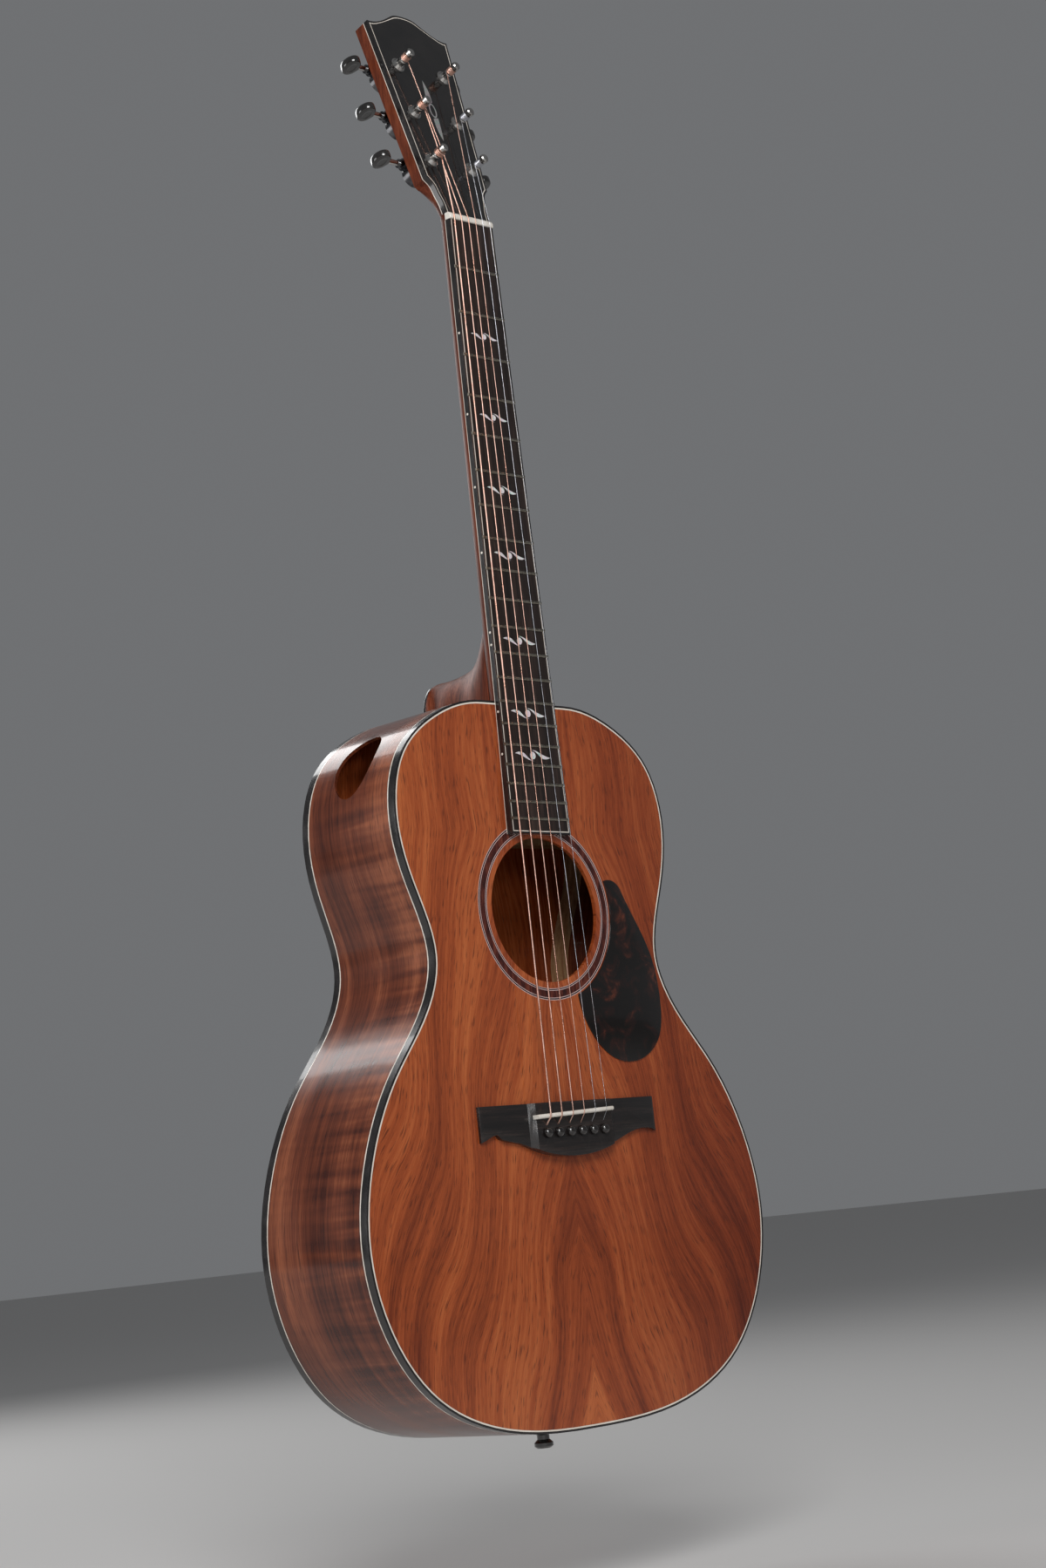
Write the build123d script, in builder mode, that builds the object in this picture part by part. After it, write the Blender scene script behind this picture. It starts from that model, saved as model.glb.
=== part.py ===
"""Steel-string acoustic guitar with a small body and a 14-fret neck, hanging upright.

Frame: +X to the treble side, +Y from the soundboard into the body, +Z up the neck.
The origin is the middle of the nut's front edge, in the plane of the soundboard. Millimetres.
"""
from build123d import *
import math
import os

os.makedirs("parts", exist_ok=True)

# ---- driving dimensions -------------------------------------------------------------------
scale_length = 645.2
fret_count = 20
body_fret = 14
string_gauges = [1.35, 1.07, 0.81, 0.61, 0.41, 0.305]      # low E to high E
string_spread_nut = 35.8
string_spread_saddle = 55.8

soundboard_thick = 2.8
back_thick = 2.6
rib_thick = 2.3
binding_wide = 1.5
binding_deep = 6.0
side_line = 1.0
purfling_wide = 1.1

back_radius = 4572.0
back_apex = 113.5
back_centre_z = -800.0

hole_z = -506.1
hole_radius = 51.3

board_half_nut = 21.5
board_half_end = 29.2
board_end_z = -452.8
board_trim = 1.5
board_line = 0.6
neck_tilt = 0.0116
neck_seat = 5.1

head_lean = 15.05
head_face_y = 1.1
head_thick = 14.0
head_trim_deep = 4.0
plate_thick = 2.0

post_places = [(-20.1, 51.2), (-21.6, 93.1), (-22.8, 134.8), (22.8, 134.8), (21.6, 93.1), (20.1, 51.2)]
gear_teeth = 15
worm_lead = 2.2
worm_pitch_radius = 2.5
worm_depth = 19.7

pin_z = -662.3
pin_pitch = 11.2
bridge_height = 7.5
saddle_height = 12.0
end_pin_y = 57.0

# Half of the body's outline, (x, z), from the neck joint round to the tail.
shoulder_flat = 40.0
joint_z = -357.5
outline_half = [
    (shoulder_flat, joint_z), (62, -360), (88, -370), (120, -396), (132.8, -441.5), (125, -484),
    (110, -541), (122, -573.5), (155, -616), (184, -672), (193.5, -727),
    (183, -779.5), (150, -827.5), (92, -856.5), (0, -865),
]

# ---- derived places -----------------------------------------------------------------------
lean = math.radians(head_lean)
head_up = Vector(0, math.sin(lean), math.cos(lean))
head_normal = Vector(0, -math.cos(lean), math.sin(lean))
gear_pitch_radius = gear_teeth * worm_lead / (2 * math.pi)
worm_offset = gear_pitch_radius + worm_pitch_radius
strings_at_nut = [string_spread_nut * (i / 5 - 0.5) for i in range(6)]
strings_at_saddle = [string_spread_saddle * (i / 5 - 0.5) for i in range(6)]
nut_height = 1.2


def fret_z(number):
    return -scale_length * (1 - 2 ** (-number / 12))


def board_face_y(z):
    """The playing face of the fretboard, which rises towards the bridge."""
    return 0.1 + neck_tilt * z


def neck_face_y(z):
    """The neck's flat face under the fretboard, which meets the soundboard at the joint."""
    return max(0.0, neck_seat * (1 - z / joint_z))


def board_half(z):
    return board_half_nut + (board_half_end - board_half_nut) * z / board_end_z


def depth_plane(y):
    """A plane parallel to the soundboard, y deep in the body, with local axes X and Z."""
    return Plane.XZ.offset(-y)


def head_point(x, up, height):
    """A point at x, so far up the headstock's face and so high off it."""
    return Vector(x, head_face_y, 0) + head_up * up + head_normal * height


def head_plane(depth=0.0, x=0.0, up=0.0):
    """A plane parallel to the headstock's face, with local axes X and up the head."""
    middle = Vector(x, head_face_y, 0) + head_up * up - head_normal * depth
    return Plane(origin=middle, x_dir=(1, 0, 0), z_dir=head_normal)


def moved_inwards(points, inset):
    """The outline's points, each moved along its normal by the inset."""
    moved = []
    for i, (x, z) in enumerate(points):
        before = points[max(i - 1, 0)]
        after = points[min(i + 1, len(points) - 1)]
        run = Vector(after[0] - before[0], after[1] - before[1])
        if i == 0:
            run = Vector(1, 0)
        if i == len(points) - 1:
            run = Vector(-1, 0)
        side = Vector(run.Y, -run.X).normalized()
        moved.append((x + side.X * inset, z + side.Y * inset))
    return moved


def body_face(inset):
    """The body's outline as a face, moved inwards by the inset."""
    right = moved_inwards(outline_half, inset)
    left = [(-x, z) for x, z in reversed(right[:-1])]
    with BuildSketch(Plane.XY) as face:
        with BuildLine():
            Line(left[-1], right[0])
            Spline(*right, *left)
        make_face()
    return face.sketch


outlines = {inset: body_face(inset) for inset in (0.0, 1.5, 2.3, 2.6, 7.5)}


def body_prism(inset, y_low, y_high):
    """The body's outline, moved inwards, as a block from one depth to another."""
    with BuildPart() as prism:
        with BuildSketch(depth_plane(y_low)):
            add(outlines[inset])
        extrude(amount=y_low - y_high)
    return prism.part


def inside_dome(depth):
    """All that lies in front of the back's curved face, moved inwards by depth."""
    with BuildPart() as dome:
        with Locations((0, back_apex - back_radius, back_centre_z)):
            Sphere(back_radius - depth)
    return dome.part


def body_ring(outer, inner, y_low, y_high):
    """A band round the body between two outlines, from one depth to another."""
    with BuildPart() as ring:
        with BuildSketch(depth_plane(y_low)):
            add(outlines[outer])
            add(outlines[inner], mode=Mode.SUBTRACT)
        extrude(amount=y_low - y_high)
    return ring.part


def dome_slice(piece, near, far):
    """The part of a piece between two depths under the back's curved face."""
    with BuildPart() as sliced:
        add(piece)
        add(domes[near], mode=Mode.INTERSECT)
        if far is not None:
            add(domes[far], mode=Mode.SUBTRACT)
    return sliced.part


rib_back = binding_deep + side_line
domes = {depth: inside_dome(depth) for depth in (0.0, back_thick, binding_deep, rib_back, 15.6, 17.6)}


def save(piece, label):
    piece.label = label
    export_step(piece, f"parts/{label}.step")


# ---- soundboard, with its inlaid rings ----------------------------------------------------
ring_bands = [
    ("line", 63.4, 64.2), ("dark", 62.9, 63.4), ("line", 62.2, 62.9), ("red_brown", 57.6, 62.2),
    ("line", 56.9, 57.6), ("dark", 56.4, 56.9), ("line", 55.8, 56.4),
]
ring_depth = 1.2
pin_places = [(pin_pitch * (i - 2.5), pin_z) for i in range(6)]
pin_shank = 2.55
running_gap = 0.05

with BuildPart() as soundboard:
    with BuildSketch(depth_plane(0)):
        add(outlines[2.6])
        with Locations((0, hole_z)):
            Circle(hole_radius, mode=Mode.SUBTRACT)
        with Locations(*pin_places):
            Circle(pin_shank + running_gap, mode=Mode.SUBTRACT)
    extrude(amount=-soundboard_thick)
    with BuildSketch(depth_plane(0)):
        with Locations((0, hole_z)):
            Circle(ring_bands[0][2])
            Circle(ring_bands[-1][1], mode=Mode.SUBTRACT)
    extrude(amount=-ring_depth, mode=Mode.SUBTRACT)
save(soundboard.part, "soundboard")

with BuildPart() as rosette:
    for name, inner, outer in ring_bands:
        with BuildSketch(depth_plane(0)):
            with Locations((0, hole_z)):
                Circle(outer)
                Circle(inner, mode=Mode.SUBTRACT)
        extrude(amount=-ring_depth, mode=Mode.ADD, clean=False)
save(rosette.part, "rosette")

# ---- back and ribs ------------------------------------------------------------------------
back_block = body_prism(1.5, 80, 130)
with BuildPart() as back:
    add(dome_slice(back_block, 0.0, back_thick))
save(back.part, "back")

rib_band = dome_slice(body_ring(0.0, 2.3, rib_back, 130), back_thick, None)
rib_rebate = dome_slice(body_ring(0.0, 1.5, 70, 130), 0.0, rib_back)
rib_front_lip = body_ring(1.5, 2.3, soundboard_thick, rib_back)

port_middle = Vector(-120.5, 48, -397)
port_normal = Vector(-0.83, 0, 0.557).normalized()
port_half_wide = 18.5
port_half_long = 26.5
port_turn = -8
port_plane = Plane(origin=port_middle - port_normal * 20, x_dir=(0, 1, 0), z_dir=port_normal)
end_pin_radius = 4.0
truss_access = 6.0
truss_y = 9.5


def half_ribs(side):
    """The bent side of one half: -1 is the bass side, 1 the treble side."""
    with BuildPart() as ribs:
        add(rib_band)
        add(rib_rebate, mode=Mode.SUBTRACT)
        add(rib_front_lip)
        with Locations((-side * 200, 60, -600)):
            Box(400, 200, 700, mode=Mode.SUBTRACT)
        with BuildSketch(Plane.XY.offset(-880)):
            with Locations((0, end_pin_y)):
                Circle(end_pin_radius + running_gap)
        extrude(amount=40, mode=Mode.SUBTRACT)
        with BuildSketch(Plane.XY.offset(-365)):
            with Locations((0, truss_y)):
                Circle(truss_access)
        extrude(amount=20, mode=Mode.SUBTRACT)
        if side < 0:
            with BuildSketch(port_plane):
                Ellipse(port_half_wide, port_half_long, rotation=port_turn)
            extrude(amount=40, mode=Mode.SUBTRACT)
    return ribs.part


save(half_ribs(-1), "rib_bass")
save(half_ribs(1), "rib_treble")

# ---- edge bindings and white lines --------------------------------------------------------
front_binding = body_ring(0.0, 1.5, 0, binding_deep)
back_binding = dome_slice(body_ring(0.0, 1.5, 70, 130), 0.0, binding_deep)
front_side_line = body_ring(0.0, 1.5, binding_deep, rib_back)
back_side_line = dome_slice(body_ring(0.0, 1.5, 70, 130), binding_deep, rib_back)
top_line = body_ring(1.5, 2.6, 0, soundboard_thick)


# Half of the headstock's outline: a point on its face, and the way it moves when the outline is inset.
head_throat = [((21.6, 6.5), (-1, 0)), ((22.2, 15), (-1, 0)), ((24.6, 25), (-0.96, 0.28))]
head_step = [((26.5, 30.5), (-0.75, 0.66)), ((30.5, 35), (-0.97, 0.46))]
head_corner = ((40, 171.5), (-1.08, -1.1))
head_crest = [((30, 172.8), (0.2, -1)), ((14, 181.5), (-0.4, -0.92)), ((0, 185), (0, -1))]


def head_outline(inset):
    """The headstock's face, with small shoulders above the nut and a crested top."""
    def at(places):
        return [(x + dx * inset, up + dup * inset) for (x, up), (dx, dup) in places]

    throat = at(head_throat)
    step = at(head_throat[-1:] + head_step)
    crest = at([head_corner] + head_crest)
    with BuildSketch(Plane.XY) as face:
        with BuildLine():
            Line((0, 6.5), throat[0])
            Spline(*throat, tangents=((0, 1), (0.1, 1)))
            Spline(*step, tangents=((0.2, 1), (0.9, 0.9)))
            Line(step[-1], crest[0])
            Spline(*crest, tangents=((-1, -0.1), (-1, 0)))
            mirror(about=Plane.YZ)
        make_face()
    return face.sketch


head_trim = 1.6
head_line = 0.6
head_outer = head_outline(0)
head_inner = head_outline(head_trim)
head_core = head_outline(head_trim + head_line)


def head_band(outer, inner, near, far):
    """A band round the headstock between two outlines and two depths."""
    with BuildPart() as band:
        with BuildSketch(head_plane(near)):
            add(outer)
            if inner is not None:
                add(inner, mode=Mode.SUBTRACT)
        extrude(amount=near - far)
    return band.part


def board_slab(inset, y_low=-12.0, y_high=12.0):
    """The fretboard's tapered plan, moved inwards, between the playing face and its seat."""
    top_half = board_half(0) - inset
    end_half = board_half(board_end_z) - inset
    with BuildPart() as slab:
        with BuildSketch(depth_plane(y_low)):
            with BuildLine():
                Polyline((-top_half, 0), (top_half, 0), (end_half, board_end_z + inset),
                         (-end_half, board_end_z + inset), close=True)
            make_face()
        extrude(amount=y_low - y_high)
        with BuildSketch(Plane.YZ.offset(-40)):
            with BuildLine():
                Polyline((board_face_y(0), 0), (neck_face_y(0), 0), (0, joint_z), (0, board_end_z),
                         (board_face_y(board_end_z), board_end_z), close=True)
            make_face()
        extrude(amount=80, mode=Mode.INTERSECT)
    return slab.part


board_outer = board_slab(0)
board_inner = board_slab(board_trim)
board_core = board_slab(board_trim + board_line)

foot_line = 0.5
with BuildPart() as board_foot:
    add(board_outer)
    add(board_inner, mode=Mode.SUBTRACT)
    add(board_outer.moved(Location((0, -foot_line, 0))), mode=Mode.SUBTRACT)

with BuildPart() as binding:
    add(front_binding)
    add(back_binding)
    add(head_band(head_outer, head_inner, 0, head_trim_deep))
    add(board_outer)
    add(board_inner, mode=Mode.SUBTRACT)
    add(board_foot.part, mode=Mode.SUBTRACT)
save(binding.part, "binding")

line_deep = 0.6
with BuildPart() as purfling:
    add(top_line)
    add(front_side_line)
    add(back_side_line)
    add(head_band(head_outer, head_inner, head_trim_deep, head_trim_deep + line_deep))
    add(head_band(head_inner, head_core, 0, plate_thick))
    add(board_inner)
    add(board_core, mode=Mode.SUBTRACT)
    add(board_foot.part)
save(purfling.part, "purfling")

# ---- inside the body ----------------------------------------------------------------------
block_half = 38.0
neck_block_long = 42.0
tail_block_high = -842.0
inside_z = joint_z - rib_thick

with BuildPart() as neck_block:
    with Locations((0, 60, inside_z - neck_block_long / 2)):
        Box(2 * block_half, 2 * (60 - soundboard_thick), neck_block_long)
    add(domes[back_thick], mode=Mode.INTERSECT)
    with BuildSketch(Plane.XY.offset(inside_z)):
        with Locations((0, truss_y)):
            Circle(truss_access)
    extrude(amount=-neck_block_long, mode=Mode.SUBTRACT)
save(neck_block.part, "neck_block")

with BuildPart() as tail_block:
    add(dome_slice(body_prism(2.3, soundboard_thick, 130), back_thick, None))
    with Locations((0, 60, tail_block_high - 50)):
        Box(2 * block_half, 200, 100, mode=Mode.INTERSECT)
    with BuildSketch(Plane.XY.offset(-880)):
        with Locations((0, end_pin_y)):
            Circle(end_pin_radius + running_gap)
    extrude(amount=60, mode=Mode.SUBTRACT)
save(tail_block.part, "tail_block")

lining_deep = 13.0
with BuildPart() as linings:
    add(body_ring(2.3, 7.5, soundboard_thick, soundboard_thick + lining_deep))
    add(dome_slice(body_ring(2.3, 7.5, 60, 130), back_thick, 15.6))
    for middle_z in (inside_z - neck_block_long / 2, tail_block_high - 20):
        with Locations((0, 60, middle_z)):
            Box(2 * block_half + 1, 200, neck_block_long + 1, mode=Mode.SUBTRACT)
save(linings.part, "linings")

brace_wide = 7.0
brace_tall = 13.0
brace_inset = 9.0
cross_z = -604.0
cross_angle = 42.0
bar_turns = [(0, cross_z, cross_angle, 470), (0, cross_z, -cross_angle, 470)]
tone_bars = [(-48, -716, 62, 140), (-34, -775, 62, 110)]
finger_bars = [(-128, -655, 70, 34), (128, -655, -70, 34), (-126, -700, 78, 60), (126, -700, -78, 60)]

with BuildPart() as top_bracing:
    with BuildSketch(depth_plane(soundboard_thick)):
        for x, z, turn, long in bar_turns:
            with Locations((x, z)):
                Rectangle(brace_wide, long, rotation=turn)
        with Locations((0, -428)):
            Rectangle(190, 12)
    extrude(amount=-brace_tall)
    with BuildSketch(depth_plane(soundboard_thick)):
        for x, z, turn, long in tone_bars + finger_bars:
            with Locations((x, z)):
                Rectangle(5.5, long, rotation=turn)
    extrude(amount=-brace_tall * 0.6)
    with BuildSketch(depth_plane(soundboard_thick)):
        with Locations((0, -660)):
            Rectangle(150, 34)
    extrude(amount=-2.5)
    add(body_prism(7.5, 0, 40), mode=Mode.INTERSECT)
    with BuildSketch(depth_plane(0)):
        with Locations(*pin_places):
            Circle(pin_shank + running_gap)
    extrude(amount=-20, mode=Mode.SUBTRACT)
save(top_bracing.part, "top_bracing")

back_brace_z = [-440.0, -565.0, -655.0, -745.0]
with BuildPart() as back_bars:
    with BuildSketch(depth_plane(60)):
        for z in back_brace_z:
            with Locations((0, z)):
                Rectangle(400, 9)
    extrude(amount=-60)
    add(domes[back_thick], mode=Mode.INTERSECT)
    add(domes[17.6], mode=Mode.SUBTRACT)
with BuildPart() as back_strip:
    with BuildSketch(depth_plane(60)):
        with Locations((0, (inside_z - neck_block_long + tail_block_high) / 2)):
            Rectangle(16, tail_block_high - inside_z + neck_block_long)
    extrude(amount=-60)
    add(domes[back_thick], mode=Mode.INTERSECT)
    add(domes[rib_back], mode=Mode.SUBTRACT)
with BuildPart() as back_braces:
    add(back_bars.part)
    add(back_strip.part)
    add(body_prism(7.5, 20, 130), mode=Mode.INTERSECT)
save(back_braces.part, "back_braces")

# ---- neck ---------------------------------------------------------------------------------
# Each section: place along the neck, half width and depth below the flat face.
shaft_sections = [(16.0, 20.5, 8.8), (0.0, 21.5, 13.6), (-120.0, 23.6, 14.6),
                  (-240.0, 25.6, 15.6), (joint_z, 27.55, 17.4)]
# Each section: depth in the body, half width at the joint and reach up the neck.
heel_sections = [(8, 25, 84), (16, 25, 71), (22, 24, 56), (29, 22.5, 44), (38, 20, 36.5),
                 (52, 17, 32.5), (70, 14.5, 31), (88, 13.5, 30.5)]
heel_end = 88.0
cap_thick = 2.5


def heel_section(y, half_wide, reach):
    """A half ellipse whose flat side lies on the body."""
    with BuildSketch(depth_plane(y)) as section:
        with Locations((0, joint_z)):
            Ellipse(half_wide, reach)
        with Locations((0, joint_z - 100)):
            Rectangle(200, 200, mode=Mode.SUBTRACT)
    return section.sketch


throat_top = 32.0
throat_depth = head_trim_deep + line_deep
# Each section: place up the headstock, half width, and its corners' reach across and into it.
throat_sections = [(4.0, 21.45, 21.0, 9.2), (15.0, 22.2, 17.0, 8.6), (25.0, 24.6, 9.0, 6.4),
                   (throat_top, 27.9, 1.6, 1.6)]


def throat_section(up, half_wide, corner_wide, corner_deep):
    """A section with elliptical corners: round like the neck low down, square like the headstock higher."""
    deep = head_thick - throat_depth
    middle = head_point(0, up, -throat_depth)
    with BuildSketch(Plane(origin=middle, x_dir=(1, 0, 0), z_dir=head_up)) as section:
        with BuildLine():
            Line((half_wide, 0), (half_wide, deep - corner_deep))
            corner = EllipticalCenterArc((half_wide - corner_wide, deep - corner_deep), corner_wide, corner_deep,
                                         start_angle=0, arc_size=90)
            Line(corner @ 1, (0, deep))
            mirror(about=Plane.YZ)
            Line((-half_wide, 0), (half_wide, 0))
        make_face()
    return section.sketch


with BuildPart() as head_block:
    add(head_band(head_outer, None, throat_depth, head_thick))
    with BuildSketch(Plane(origin=head_point(0, throat_top, 0), x_dir=(1, 0, 0), z_dir=head_up)):
        Rectangle(120, 60)
    extrude(amount=-60, mode=Mode.SUBTRACT)
    loft([throat_section(*place) for place in throat_sections])

with BuildPart() as heel:
    loft([heel_section(*place) for place in heel_sections])

with BuildPart() as shaft:
    for z, half_wide, deep in shaft_sections:
        flat_y = head_face_y + z * math.tan(lean) + 4.6 if z > 0 else neck_face_y(z)
        with BuildSketch(Plane.XY.offset(z)):
            with Locations((0, flat_y)):
                Ellipse(half_wide, deep)
            with Locations((0, flat_y - 50)):
                Rectangle(200, 100, mode=Mode.SUBTRACT)
    loft(ruled=True)

truss_channel = 6.6
nut_long = 5.5
post_hole = 5.0
screw_place = 12.5
screw_radius = 1.1

with BuildPart() as neck:
    add(shaft.part)
    add(heel.part)
    with BuildSketch(Plane.YZ.offset(-60)):
        with BuildLine():
            Polyline((-60, 7), (neck_face_y(0), 7), (neck_face_y(0), 0), (0, joint_z), (0, -400), (-60, -400),
                     close=True)
        make_face()
    extrude(amount=120, mode=Mode.SUBTRACT)
    add(head_band(head_outer, None, -9, throat_depth), mode=Mode.SUBTRACT)
    add(head_block.part)
    add(head_band(head_core, None, plate_thick, throat_depth))
    with BuildSketch(Plane.XY):
        with Locations((0, neck_seat - 20)):
            Rectangle(60, 40)
    extrude(amount=nut_long + 0.1, mode=Mode.SUBTRACT)
    for x, up in post_places:
        with BuildSketch(head_plane(head_thick + 20, x, up)):
            Circle(post_hole)
        extrude(amount=40, mode=Mode.SUBTRACT)
        with BuildSketch(head_plane(head_thick, x, up - screw_place)):
            Circle(screw_radius + running_gap)
        extrude(amount=8, mode=Mode.SUBTRACT)
    with BuildSketch(Plane.XY.offset(joint_z)):
        with Locations((0, truss_y - 8)):
            Rectangle(truss_channel, 22)
    extrude(amount=-joint_z - 14, mode=Mode.SUBTRACT)
save(neck.part, "neck")

with BuildPart() as heel_cap:
    extrude(heel_section(heel_end, *heel_sections[-1][1:]), amount=-cap_thick)
save(heel_cap.part, "heel_cap")

# ---- truss rod, reached through the soundhole ---------------------------------------------
rod_half = 3.0
with BuildPart() as truss_rod:
    with BuildSketch(Plane.XY.offset(-16)):
        with Locations((0, truss_y - 0.5)):
            Rectangle(2 * rod_half, 2 * rod_half)
    extrude(amount=joint_z + 17)
    with BuildSketch(Plane.XY.offset(joint_z + 2)):
        with Locations((0, truss_y)):
            Circle(2.4)
    extrude(amount=-20)
save(truss_rod.part, "truss_rod")

truss_nut_top = joint_z - 8
with BuildPart() as truss_nut:
    with BuildSketch(Plane.XY.offset(truss_nut_top)):
        with Locations((0, truss_y)):
            Circle(4.6)
            Circle(2.4 + running_gap, mode=Mode.SUBTRACT)
    extrude(amount=-11)
    with BuildSketch(Plane.XY.offset(truss_nut_top - 11)):
        with Locations((0, truss_y)):
            Circle(4.6)
            RegularPolygon(2.9, 6, mode=Mode.SUBTRACT)
    extrude(amount=-6)
save(truss_nut.part, "truss_nut")

# ---- fretboard, markers, frets and nut ----------------------------------------------------
marker_frets = [3, 5, 7, 9, 12, 15, 17]
marker_deep = 0.6


def marker_face():
    """A disc between two curved leaves, the second turned half a turn; markers grow with the board's width."""
    with BuildSketch(Plane.XY) as face:
        Circle(2.3)
        with BuildSketch(Plane.XY, mode=Mode.PRIVATE) as leaf:
            with BuildLine():
                upper = Spline((-1.2, 3.2), (2.6, 3.0), (6.4, 1.5), (10.4, 0.0), (14.4, -0.9))
                Spline(upper @ 1, (10.8, -1.9), (7.4, -1.4), (5.2, 0.3), (3.2, 1.9), upper @ 0)
            make_face()
        with PolarLocations(0, 2):
            add(leaf.sketch)
    return face.sketch


marker = marker_face()
marker_growth = 0.00095
with BuildPart() as marker_blocks:
    for number in marker_frets:
        middle_z = (fret_z(number) + fret_z(number - 1)) / 2
        with BuildSketch(depth_plane(board_face_y(middle_z) + marker_deep)):
            with Locations((0, middle_z)):
                add(scale(marker, by=0.82 - marker_growth * middle_z))
        extrude(amount=6)

with BuildPart() as fretboard:
    add(board_core)
    add(marker_blocks.part, mode=Mode.SUBTRACT)
save(fretboard.part, "fretboard")

with BuildPart() as fret_markers:
    add(board_core)
    add(marker_blocks.part, mode=Mode.INTERSECT)
save(fret_markers.part, "fret_markers")

fret_half_wide = 1.1
fret_high = 1.0
with BuildPart() as frets:
    for number in range(1, fret_count + 1):
        z = fret_z(number)
        half = board_half(z) - 0.5
        across = Plane(origin=(-half, board_face_y(z), z), x_dir=(0, neck_tilt, 1), z_dir=(1, 0, 0))
        with BuildSketch(across):
            Ellipse(fret_half_wide, fret_high)
            with Locations((0, -2)):
                Rectangle(6, 4, mode=Mode.SUBTRACT)
        extrude(amount=2 * half)
save(frets.part, "frets")

with BuildPart() as nut:
    with Locations((0, (neck_seat - nut_height) / 2, nut_long / 2)):
        Box(2 * board_half_nut, neck_seat + nut_height, nut_long)
    top = nut.faces().sort_by(Axis.Y)[0]
    fillet(top.edges().filter_by(Axis.X).sort_by(Axis.Z)[-1], 3.5)
save(nut.part, "nut")

# ---- headstock face -----------------------------------------------------------------------
ornament_deep = 0.8
with BuildPart() as ornament_blocks:
    with BuildSketch(head_plane(ornament_deep)):
        with Locations((0, 100)):
            Ellipse(3.4, 6.6)
            Ellipse(2.2, 5.2, mode=Mode.SUBTRACT)
        for end in (1, -1):
            with BuildLine():
                Spline((-3.0 * end, 100 + 6.2 * end), (-2.4 * end, 100 + 16 * end), (-1 * end, 100 + 27 * end))
                Spline((-1 * end, 100 + 27 * end), (2.2 * end, 100 + 14 * end), (2.0 * end, 100 + 7.6 * end))
                Line((2.0 * end, 100 + 7.6 * end), (-3.0 * end, 100 + 6.2 * end))
            make_face()
    extrude(amount=ornament_deep)

with BuildPart() as head_plate:
    add(head_band(head_core, None, 0, plate_thick))
    add(ornament_blocks.part, mode=Mode.SUBTRACT)
    for x, up in post_places:
        with BuildSketch(head_plane(plate_thick + 1, x, up)):
            Circle(post_hole)
        extrude(amount=plate_thick + 2, mode=Mode.SUBTRACT)
save(head_plate.part, "head_plate")
save(ornament_blocks.part, "head_ornament")

# ---- bridge, saddle and pickguard ---------------------------------------------------------
bridge_half = 86.0
bridge_top_z = -641.5
wing_z = -666.0
belly_z = -679.3
# The lower edge from the end of the wing to the middle of the belly.
lower_edge = [(bridge_half, wing_z), (69, -663.7), (52, -668), (35, -674), (17.5, -678), (0, belly_z)]
wing_height = 3.8
wing_end = 82.8
tip_height = 1.8
scoop_in = 37.0
scoop_out = 41.5
saddle_thick = 3.0
saddle_seat = 3.5
saddle_ends = [(-38.8, -651.3), (35.6, -648.5)]
saddle_run = Vector(saddle_ends[1][0] - saddle_ends[0][0], saddle_ends[1][1] - saddle_ends[0][1])
saddle_turn = math.degrees(math.atan2(saddle_run.Y, saddle_run.X))
saddle_middle = tuple(sum(ends) / 2 for ends in zip(*saddle_ends))


def saddle_z(x):
    """The crest of the saddle, which lies further from the nut on the bass side."""
    return saddle_middle[1] + (x - saddle_middle[0]) * saddle_run.Y / saddle_run.X


with BuildPart() as saddle:
    with BuildSketch(depth_plane(-bridge_height + saddle_seat)):
        with Locations(saddle_middle):
            Rectangle(saddle_run.length, saddle_thick, rotation=saddle_turn)
    extrude(amount=saddle_height - bridge_height + saddle_seat)
    crest = saddle.faces().sort_by(Axis.Y)[0].edges().sort_by(SortBy.LENGTH)[-2:]
    fillet(crest, saddle_thick / 2 - 0.05)
save(saddle.part, "saddle")

with BuildPart() as bridge:
    with BuildSketch(depth_plane(0)):
        with BuildLine():
            belly = Spline(*lower_edge, *[(-x, z) for x, z in reversed(lower_edge[:-1])],
                           tangents=((-1, 0.45), (-1, -0.45)))
            Polyline(belly @ 1, (-bridge_half, bridge_top_z), (bridge_half, bridge_top_z), belly @ 0)
        make_face()
    extrude(amount=bridge_height)
    for side in (-1, 1):
        with BuildSketch(Plane.XY.offset(belly_z - 5)):
            with BuildLine():
                Polyline((side * scoop_in, -bridge_height - 1), (side * scoop_in, -bridge_height),
                         (side * scoop_out, -wing_height), (side * wing_end, -wing_height + 0.4),
                         (side * (bridge_half + 1), -tip_height), (side * (bridge_half + 1), -bridge_height - 1),
                         close=True)
            make_face()
        extrude(amount=50, mode=Mode.SUBTRACT)
    with BuildSketch(depth_plane(-bridge_height + saddle_seat)):
        with Locations(saddle_middle):
            Rectangle(saddle_run.length, saddle_thick, rotation=saddle_turn)
    extrude(amount=10, mode=Mode.SUBTRACT)
    with BuildSketch(depth_plane(5)):
        with Locations(*pin_places):
            Circle(pin_shank + running_gap)
    extrude(amount=20, mode=Mode.SUBTRACT)
save(bridge.part, "bridge")

guard_thick = 1.0
guard_radius = 65.0
guard_start = 18.8
guard_end = -68.3


def guard_arc_point(angle):
    turn = math.radians(angle)
    return (guard_radius * math.cos(turn), hole_z + guard_radius * math.sin(turn))


with BuildPart() as pickguard:
    with BuildSketch(depth_plane(0)):
        with BuildLine():
            inner = ThreePointArc(guard_arc_point(guard_start), guard_arc_point(-25), guard_arc_point(guard_end))
            edge = Spline(inner @ 1, (33.6, -594), (53, -612), (80, -614.5), (102, -599), (107.5, -573),
                          (101, -535), (88, -510), (78, -491))
            Spline(edge @ 1, (72, -485.5), inner @ 0)
        make_face()
    extrude(amount=guard_thick)
save(pickguard.part, "pickguard")

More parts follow.
